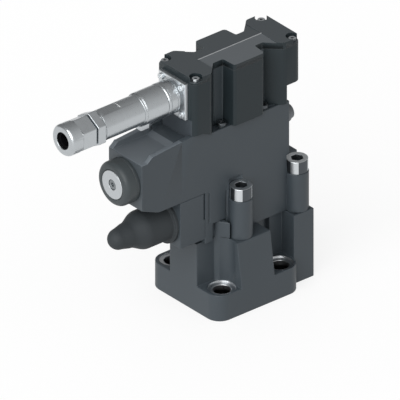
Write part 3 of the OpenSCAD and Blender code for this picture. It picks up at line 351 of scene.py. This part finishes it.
def lies_at(edge, axis, place):
    """Whether an edge lies in the plane across that axis at that place."""
    return all(abs(vert.co[axis] - place) < plane_slack for vert in edge.verts)


def united(*names):
    """A bmesh of several CAD nodes joined into one solid."""
    parts = []
    for name in names:
        shape = node_copy(name)
        mesh = bpy.data.meshes.new(name + "_copy")
        shape.to_mesh(mesh)
        shape.free()
        part = bpy.data.objects.new(name + "_copy", mesh)
        bpy.context.scene.collection.objects.link(part)
        parts.append(part)
    for other in parts[1:]:
        union = parts[0].modifiers.new("union", "BOOLEAN")
        union.operation = "UNION"
        union.solver = "EXACT"
        union.object = other
    shape = bmesh.new()
    shape.from_object(parts[0], bpy.context.evaluated_depsgraph_get())
    for part in parts:
        bpy.data.objects.remove(part)
    merge_faces(shape)
    return shape


no_seam = 1.0
seam_reach = 0.9 * mm
edge_reach = 0.5 * mm


def cast_paint(name, colour, wear=0.35, gloss=0.42, seam_axis=0, seam=no_seam, patch=None,
               painted_light_colour=None):
    """Satin paint, paler along its edges except at a seam, and of another colour, painted light, in the
    patch, if any.
    """
    finish = Finish(name, colour, 0.42, Specular_IOR_Level=gloss)
    grain = finish.noise(900, 4)
    cloud = finish.noise(28, 2)
    places = finish.axes()
    off_seam = abs(places[seam_axis] - seam).above(seam_reach)
    edge = (finish.edges(edge_reach) * 9 - 0.35 + cloud * 0.4).clamp() * wear * off_seam
    base = finish.blend(cloud * 0.6 + grain * 0.4, finish.tone(0.94), finish.tone(1.06))
    if patch:
        base = finish.blend(patch(*places), base, (*painted_light_colour, 1))
    finish.set("Base Color", finish.blend(edge, base, finish.tone(2.4)))
    finish.set("Roughness", 0.38 + grain * 0.14 - edge * 0.2)
    finish.relief(grain, 0.00005)
    return finish.material


def machined_metal(name, colour):
    """Faces cut by a spotfacing tool: fine rings around each bolt hole, and painted shade that darkens the
    bores below a depth.
    """
    finish = Finish(name, colour, 0.3, 1.0)
    x, y, z = finish.axes()
    radius = ((abs(x) - bolt_x) ** 2 + (abs(y) - bolt_x) ** 2).root()
    rings = (radius * (2 * math.pi / spot_pitch) + z * 9000).sine() * 0.5 + 0.5
    haze = finish.noise(300, 3)
    # Painted shade: the bores turn near black below a depth, where shade falls in them
    bore_painted_shade = ((bolt_shade_z - z) / (2 * mm)).clamp()
    bright = finish.blend(haze, finish.tone(0.85), finish.tone(1.1))
    finish.set("Base Color", finish.blend(bore_painted_shade, bright, finish.tone(0.04)))
    finish.set("Roughness", 0.22 + haze * 0.16)
    finish.relief(rings * 0.6 + haze * 0.4, 0.00002, 0.15 * mm)
    return finish.material


body_colour = (0.048, 0.060, 0.070)
bolt_x = 26.9 * mm
bolt_seat_z = 19.5 * mm
bolt_shade_z = bolt_seat_z - 2.5 * mm
bolt_room_r = 10 * mm
spot_pitch = 0.35 * mm
flange_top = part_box("main_flange")[1][2]
body_paint = cast_paint("cast_paint", body_colour)
machined = machined_metal("machined_iron", (0.62, 0.64, 0.66))


def machine_bolt_holes(shape):
    """Gives the machined finish to the faces inside the four bolt rooms, up to the flange top."""
    for face in shape.faces:
        place = face.calc_center_median()
        reach = max(math.hypot(abs(v.co.x) - bolt_x, abs(v.co.y) - bolt_x) for v in face.verts)
        if reach < bolt_room_r + slack / 2 and 0 < place.z < flange_top - slack:
            face.material_index = 1


casting = united("main_flange", "main_column", "main_tail")
machine_bolt_holes(casting)
settle("main_casting", casting, [body_paint, machined], "valve", "cast_black",
       "main_flange", "main_column", "main_tail", soft=0.6 * mm)
seam_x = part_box("solenoid_housing")[1][0]
side_y = -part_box("solenoid_housing")[0][1]
trough_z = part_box("solenoid_housing")[0][2] + 2 * side_y
upper_paint = cast_paint("upper_paint", body_colour, seam=seam_x)


def on_seam(edge):
    """Picks the edges where the pilot casting and the solenoid shell meet."""
    return lies_at(edge, 0, seam_x)


drain_low, drain_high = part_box("drain_plug")
drain_margin = 1 * mm


def on_seam_or_drain(edge):
    """Picks the seam to the solenoid, and the edges around the drain plug in the rear face."""
    near = all(drain_low[axis] - drain_margin < vert.co[axis] < drain_high[axis] + drain_margin
               for vert in edge.verts for axis in (0, 1, 2))
    return on_seam(edge) or near


settle("pilot_casting", node_copy("pilot_body"), [upper_paint], "valve", "cast_black", "pilot_body",
       soft=0.5 * mm, keep=on_seam_or_drain)
settle("limiter_casting", node_copy("limiter_block"), [body_paint], "valve", "cast_black", "limiter_block",
       soft=0.5 * mm)

# Solenoid shell: a square casting under the same paint, held between the pilot casting and its round nut.
# Its front face and the trough between its cheeks are in a paler tone of painted light, which lifts the shade
# that the nut, the plug and the cheeks cast on them.
front_painted_light = cast_paint("front_painted_light", (0.066, 0.079, 0.089), seam=seam_x)
trough_painted_light = cast_paint("trough_painted_light", (0.130, 0.150, 0.168), 0.5, seam=seam_x)
shell = node_copy("solenoid_housing")
# Painted light: the front face and the trough floor take the paler tones
for face in shell.faces:
    place = face.calc_center_median()
    if face.normal.x < -0.99:
        face.material_index = 1
    elif place.z > trough_z - slack and abs(place.y) < side_y - slack:
        face.material_index = 2
settle("solenoid_shell", shell, [upper_paint, front_painted_light, trough_painted_light], "valve", "cast_black",
       "solenoid_housing", soft=0.6 * mm, keep=on_seam)

# Driver: die-cast housing, its upright walls in a darker tone, screwed down on the pilot casting, with a
# screwed lid in the body's coat and a painted highlight along its ridge. The front wall under the socket has
# painted light, a tone near the body's.
# The waists have painted light, and the half of the roof towards -Y a painted sheen, both in paler tones.
def turned_metal(name, colour, roughness, pitch, axis=0, depth=0.00001):
    """Metal with fine turning marks around an axis and a faint haze."""
    finish = Finish(name, colour, roughness, 1.0)
    along = finish.axes()[axis]
    rings = (along * (2 * math.pi / pitch)).sine() * 0.5 + 0.5
    haze = finish.noise(240, 3)
    scuff = finish.noise(1600, 2, vector=finish.stretched((1, 0.15, 0.15)))
    finish.set("Base Color", finish.blend(haze * 0.7 + scuff * 0.3, finish.tone(0.92), finish.tone(1.06)))
    finish.set("Roughness", roughness * 0.8 + haze * (roughness * 0.35) + scuff * (roughness * 0.25))
    finish.relief(rings * 0.4 + haze * 0.4 + scuff * 0.2, depth, 0.2 * mm)
    return finish.material


def top_rim(edge):
    """Whether an edge joins a face that looks up to an upright one that looks outwards."""
    tilts = sorted(face.normal.z for face in edge.link_faces)
    return len(tilts) == 2 and abs(tilts[0]) < 0.1 and tilts[1] > 0.9 and edge.is_convex


joint_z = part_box("driver_housing")[1][2]
front_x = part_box("driver_housing")[0][0]
socket_low_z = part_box("socket_flange")[0][2]
wall_colour = (0.017, 0.025, 0.029)
foot_painted_light_colour = (0.05, 0.06, 0.07)
foot_depth = 0.6 * mm


def foot_painted_light(x, y, z):
    """1 on the front wall below the socket, where light is painted in, 0 elsewhere."""
    return x.below(front_x + foot_depth) * z.below(socket_low_z)


# The front wall below the socket gets painted light: a paler tone, near the body's colour
wall_paint = cast_paint("driver_wall_paint", wall_colour, 0.15, 0.3, 2, joint_z, foot_painted_light, foot_painted_light_colour)
waist_painted_light = cast_paint("waist_painted_light", (0.048, 0.060, 0.068), 0.15, 0.3, 2, joint_z)
waist_y = 10.3 * mm
waist_slack = 0.8 * mm
waist_start_x = front_x + 5 * mm


def paint_light_on_waists(shape):
    """Gives the second finish, a paler tone of painted light, to the upright faces at the bottom of the
    waists.
    """
    for face in shape.faces:
        place = face.calc_center_median()
        sideways = abs(face.normal.y) > 0.7
        if sideways and abs(abs(place.y) - waist_y) < waist_slack and place.x > waist_start_x:
            face.material_index = 1


lid_paint = cast_paint("lid_paint", (0.052, 0.061, 0.067), 0.15, seam_axis=2, seam=joint_z)
roof_painted_sheen = cast_paint("roof_painted_sheen", (0.094, 0.105, 0.114), 0.1, seam_axis=2, seam=joint_z)
ridge_highlight_metal = turned_metal("ridge_painted_highlight", (0.80, 0.82, 0.84), 0.5, 0.5 * mm)
housing = node_copy("driver_housing")
paint_light_on_waists(housing)
settle("driver_shell", housing, [wall_paint, waist_painted_light], "valve", "driver_black", "driver_housing",
       soft=0.5 * mm, keep=lambda edge: lies_at(edge, 2, joint_z))
lid_low, lid_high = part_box("driver_lid")
lid_top = lid_high[2]
lid_rim_r = 2 * mm
lid_rim_steps = 4
lid_rim_depth = 1.2 * mm
ridge_half = 0.5 * mm


def lid_rim(edge):
    """Picks the lid's top outer edges."""
    return top_rim(edge) and edge.verts[0].co.z > lid_top - lid_rim_depth


lid = node_copy("driver_lid", (lid_rim, lid_rim_r, lid_rim_steps))
# The lid's sides take the walls' darker tone, and the roof faces towards -Y a paler painted sheen
for face in lid.faces:
    if abs(face.normal.z) < 0.35:
        face.material_index = 1
    elif face.normal.z > 0.99 and face.normal.y < -0.02:
        face.material_index = 2
# Painted highlight: the ridge is bevelled into a thin strip of near-white metal
ridge = [edge for edge in lid.edges
         if all(abs(v.co.y) < weld and v.co.z > lid_top - slack for v in edge.verts)]
bmesh.ops.bevel(lid, geom=ridge, offset=ridge_half, offset_type="OFFSET", segments=1, profile=0.5,
                affect="EDGES", material=3)
settle("driver_cover", lid, [lid_paint, wall_paint, roof_painted_sheen, ridge_highlight_metal], "valve", "driver_black",
       "driver_lid", soft=0.4 * mm, keep=lambda edge: lies_at(edge, 2, lid_low[2]))

# Screws: bright zinc-plated steel, with chamfered heads and hexagon sockets painted dark inside as painted
# shade.
# The four that hold the driver down, and the bleed screw, are in a darker steel, painted shade of the
# recesses they sit in.
screw_pitch = 0.35 * mm
screw_steel = turned_metal("screw_steel", (0.70, 0.73, 0.75), 0.36, screw_pitch, axis=2)
socket_painted_shade = turned_metal("socket_painted_shade", (0.10, 0.11, 0.12), 0.4, screw_pitch, axis=2)
screw_painted_shade = turned_metal("screw_painted_shade", (0.26, 0.28, 0.29), 0.25, screw_pitch, axis=2)


def paint_shade_in_sockets(shape, socket_r):
    """Gives the second finish, painted shade, to the socket in each screw's head, found around the middle of
    its top face.
    """
    head_r = 2.2 * socket_r
    socket_floor = 1.3 * socket_r
    top = max(v.co.z for v in shape.verts)
    top_verts = {vert for face in shape.faces for vert in face.verts
                 if face.normal.z > 0.9 and face.calc_center_median().z > top - 2 * slack}
    for face in shape.faces:
        place = face.calc_center_median()
        near = [v.co for v in top_verts if math.hypot(v.co.x - place.x, v.co.y - place.y) < head_r]
        if not near or place.z > top - slack or place.z < top - socket_floor:
            continue
        middle_x = (min(co.x for co in near) + max(co.x for co in near)) / 2
        middle_y = (min(co.y for co in near) + max(co.y for co in near)) / 2
        if math.hypot(place.x - middle_x, place.y - middle_y) < 1.05 * socket_r:
            face.material_index = 1


for name, softness, socket_r, steel in (("clamp_screws", 0.5, 4.7, screw_steel),
                                        ("lid_screws", 0.25, 1.5, screw_steel),
                                        ("foot_screws", 0.3, 1.8, screw_painted_shade)):
    heads = node_copy(name)
    paint_shade_in_sockets(heads, socket_r * mm)
    settle(name + "_steel", heads, [steel, socket_painted_shade], "valve", "zinc_steel", name, soft=softness * mm)


# Limiter boot and solenoid nut: the boot is moulded rubber, pushed over the limiter. The nut is moulded
# plastic, screwed onto the pole tube, whose bright end disc with the bleed screw shows in its middle.
round_steps = 96
seam_weld = 0.002 * mm


def turned(profile, height):
    """A closed shape turned about the X axis at that height; profile rows are (x, radius)."""
    shape = bmesh.new()
    points = [shape.verts.new((x, 0, height + radius)) for x, radius in profile]
    edges = [shape.edges.new(pair) for pair in zip(points, points[1:])]
    bmesh.ops.spin(shape, geom=points + edges, cent=(0, 0, height), axis=(1, 0, 0), angle=2 * math.pi,
                   steps=round_steps, use_merge=True)
    bmesh.ops.remove_doubles(shape, verts=shape.verts, dist=seam_weld)
    return shape


def arc(centre_x, centre_r, radius, start, finish, count):
    """Points of a profile on an arc; angles in degrees, 0 points to -X and 90 outwards."""
    angles = [math.radians(start + (finish - start) * i / count) for i in range(count + 1)]
    return [(centre_x - radius * math.cos(a), centre_r + radius * math.sin(a)) for a in angles]


def soft_black(name, colour, roughness, gloss=0.35):
    """Rubber or moulded plastic with a fine grain."""
    finish = Finish(name, colour, roughness, Specular_IOR_Level=gloss)
    grain = finish.noise(1400, 3)
    cloud = finish.noise(40, 2)
    finish.set("Base Color", finish.blend(cloud, finish.tone(0.92), finish.tone(1.08)))
    finish.set("Roughness", roughness - 0.06 + grain * 0.12)
    finish.relief(grain, 0.00004)
    return finish.material


boot_rubber = soft_black("boot_rubber", (0.040, 0.046, 0.050), 0.6, 0.2)
moulded_black = soft_black("moulded_black", (0.050, 0.060, 0.064), 0.42)
boot_low, boot_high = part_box("limiter_boot")
boot_base = boot_high[0]
boot_axis = (boot_low[2] + boot_high[2]) / 2
boot_r = 14.5 * mm
boot_flange_r = 17.2 * mm
boot_neck_r = 9.4 * mm
boot_tip_r = 7.8 * mm
boot_wall = 1.5 * mm
boot_ring_len = 1.8 * mm
boot_ring_corner = 0.7 * mm
boot_steps = ((2.5 * mm, 1.2 * mm), (2.9 * mm, 0.4 * mm), (3.7 * mm, 0))
boot_neck_x = boot_low[0] + 14.5 * mm
boot_shoulder_x = boot_base - 21 * mm


def boot_line(inset, count):
    """The boot's outside, or its inside where inset is the wall: shoulder, neck and round tip."""
    wide, narrow, tip = boot_r - inset, boot_neck_r - inset, boot_tip_r - inset
    slope = [(boot_shoulder_x + (boot_neck_x - boot_shoulder_x) * i / count,
              wide - (wide - narrow) * (1 - math.cos(math.pi * i / count)) / 2) for i in range(count + 1)]
    return slope + arc(boot_low[0] + boot_tip_r, 0, tip, 90, 0, count)


outer = [(boot_base, boot_flange_r), (boot_base - boot_ring_len, boot_flange_r)]
outer += arc(boot_base - boot_ring_len, boot_flange_r - boot_ring_corner, boot_ring_corner, 90, 0, 4)
outer += [(boot_base - back, boot_r + out) for back, out in boot_steps]
inner = [(boot_base, boot_r - boot_wall)]
boot_profile = [*reversed(boot_line(0, 24)), *reversed(outer), *inner, *boot_line(boot_wall, 12)]
settle("boot", turned(boot_profile, boot_axis), [boot_rubber], "limiter_boot", "rubber", "limiter_boot")

nut_low, nut_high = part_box("end_nut")
nut_axis = (nut_low[2] + nut_high[2]) / 2
nut_r = (nut_high[2] - nut_low[2]) / 2
nut_edge = 4 * mm
disc_low, disc_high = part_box("end_disc")
disc_r = (disc_high[2] - disc_low[2]) / 2
recess_r = disc_r + 0.3 * mm
tube_r = 8.85 * mm
tube_x = nut_high[0] - 5.5 * mm
nut_chamfer = 0.6 * mm
nut_groove_x = nut_high[0] - 2.7 * mm
nut_groove_half = 0.3 * mm
nut_groove_depth = 0.25 * mm
recess_chamfer = 0.5 * mm
nut_line = [(nut_high[0], tube_r), (nut_high[0], nut_r - nut_chamfer), (nut_high[0] - nut_chamfer, nut_r)]
nut_line += [(nut_groove_x + nut_groove_half, nut_r), (nut_groove_x, nut_r - nut_groove_depth),
             (nut_groove_x - nut_groove_half, nut_r)]
nut_line += arc(nut_low[0] + nut_edge, nut_r - nut_edge, nut_edge, 90, 0, 12)
nut_line += [(nut_low[0], recess_r + recess_chamfer), (nut_low[0] + recess_chamfer, recess_r),
             (tube_x, recess_r), (tube_x, tube_r), (nut_high[0], tube_r)]
settle("solenoid_nut", turned(nut_line, nut_axis), [moulded_black], "end_nut", "moulded_black", "end_nut")
disc_metal = turned_metal("disc_metal", (0.62, 0.65, 0.67), 0.42, 0.4 * mm)
settle("disc", node_copy("end_disc"), [disc_metal], "valve", "nickel", "end_disc", soft=0.35 * mm)
# The bleed screw takes the darker steel as painted shade of the hole it sits in
settle("bleed", node_copy("bleed_screw"), [screw_painted_shade], "bleed_screw", "zinc_steel", "bleed_screw",
       soft=0.2 * mm)

# Socket and plug: nickel-plated brass, turned, with a hexagonal gland at the front end. The socket's plate
# is screwed to the driver's front wall with four small screws.
nickel = turned_metal("nickel", (0.56, 0.59, 0.61), 0.26, 0.3 * mm, depth=0.000003)
flange_metal = turned_metal("flange_metal", (0.75, 0.78, 0.80), 0.40, 0.4 * mm, depth=0.000004)
settle("socket_plate", node_copy("socket_flange"), [flange_metal], "valve", "nickel", "socket_flange",
       soft=0.4 * mm)
settle("socket_plate_screws", node_copy("socket_screws"), [screw_steel], "valve", "zinc_steel",
       "socket_screws", soft=0.2 * mm)
flat_end_painted_highlight = turned_metal("flat_end_painted_highlight", (0.96, 0.97, 0.98), 0.55, 0.3 * mm, depth=0.000003)
for name, softness in (("plug_sleeve", 0.5), ("plug_barrel", 0.4), ("plug_lug", 0.5), ("gland_collar", 0.6)):
    piece = node_copy(name)
    behind_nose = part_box(name)[0][0] + 1 * mm
    for face in piece.faces:
        # Painted highlight: the faces that end the wrench flats are near-white
        if name == "plug_barrel" and face.normal.x < -0.9 and face.calc_center_median().x > behind_nose:
            face.material_index = 1
    settle(name + "_metal", piece, [nickel, flat_end_painted_highlight], "plug", "nickel", name, soft=softness * mm)
settle("gland_cap", node_copy("gland_nut"), [nickel], "gland_nut", "nickel", "gland_nut", soft=0.5 * mm)

# Coupling nut: a turned brass ring, nickel-plated, with two fine grooves round it.
# It is screwed onto the socket and holds the plug.
ring_low, ring_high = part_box("coupling_nut")
ring_axis = (ring_low[2] + ring_high[2]) / 2
ring_r = (ring_high[2] - ring_low[2]) / 2
ring_bore_r = 9.85 * mm
groove_depth = 0.35 * mm
groove_half_top = 0.35 * mm
groove_half_floor = 0.2 * mm
groove_inset = 2.2 * mm
ring_chamfer = 0.6 * mm


def groove(x):
    """A fine turned groove round the ring, from the rear to the front."""
    return [(x + groove_half_top, ring_r), (x + groove_half_floor, ring_r - groove_depth),
            (x - groove_half_floor, ring_r - groove_depth), (x - groove_half_top, ring_r)]


ring_line = [(ring_high[0], ring_bore_r), (ring_high[0], ring_r - ring_chamfer),
             (ring_high[0] - ring_chamfer, ring_r)]
ring_line += groove(ring_high[0] - groove_inset) + groove(ring_low[0] + groove_inset)
ring_line += [(ring_low[0] + ring_chamfer, ring_r), (ring_low[0], ring_r - ring_chamfer),
              (ring_low[0], ring_bore_r), (ring_high[0], ring_bore_r)]
settle("coupling_ring", turned(ring_line, ring_axis), [nickel], "coupling_nut", "nickel", "coupling_nut")

# Rear plugs, seals and the parts inside: blackened and ground steel, rubber, moulded plastic, copper wire,
# gilded pins and a green board. The plugs have softened edges, and the rest keeps its CAD shape.
blackened = turned_metal("blackened_steel", (0.16, 0.17, 0.18), 0.35, 0.4 * mm)
for name in ("gauge_plug", "gallery_plug", "drain_plug"):
    settle(name + "_steel", node_copy(name), [blackened], "valve", "dark_steel", name, soft=0.3 * mm)


def paint(material, *names):
    """Gives CAD nodes one material."""
    for name in names:
        for slot in nodes[name].material_slots:
            slot.material = material


ground_steel = turned_metal("ground_steel", (0.52, 0.54, 0.56), 0.22, 0.25 * mm)
paint(ground_steel, "main_sleeve", "main_poppet", "orifice_plug", "limiter_seat", "limiter_poppet",
      "adjust_spindle", "lock_nut", "pilot_seat", "pilot_cone", "push_rod", "pole_tube")
paint(blackened, "limiter_cartridge", "spring_cup", "armature")
paint(boot_rubber, "port_seals", "joint_seals", "driver_gasket")
# Painted shade: the seal and the inserts are near black, for the shade inside the gland's mouth
seal_painted_shade = soft_black("seal_painted_shade", (0.004, 0.004, 0.005), 0.7, 0.05)
paint(seal_painted_shade, "gland_seal", "plug_insert", "socket_insert")
paint(moulded_black, "coil_bobbin")
paint(turned_metal("coil_copper", (0.72, 0.38, 0.22), 0.3, 0.5 * mm), "coil_winding")
paint(turned_metal("contact_gold", (0.83, 0.66, 0.30), 0.2, 0.2 * mm), "contact_pins")
paint(soft_black("board_green", (0.05, 0.22, 0.12), 0.4), "circuit_board")

# The three springs: wound steel wire between a fixed seat and the part that they close.
# Each is made from its CAD node in ground steel, on a mesh of its own.
for name, joint, axis, seat_at_end, travel in (("main_spring", "main_poppet_lift", 2, 1, 4 * mm),
                                               ("pilot_spring", "pilot_cone_lift", 0, 0, 1.5 * mm),
                                               ("limiter_spring", "spring_cup_travel", 0, 1, 4 * mm)):
    wire = settle(name + "_wire", node_copy(name), [ground_steel], "valve", "ground_steel", name)
    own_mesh(wire)
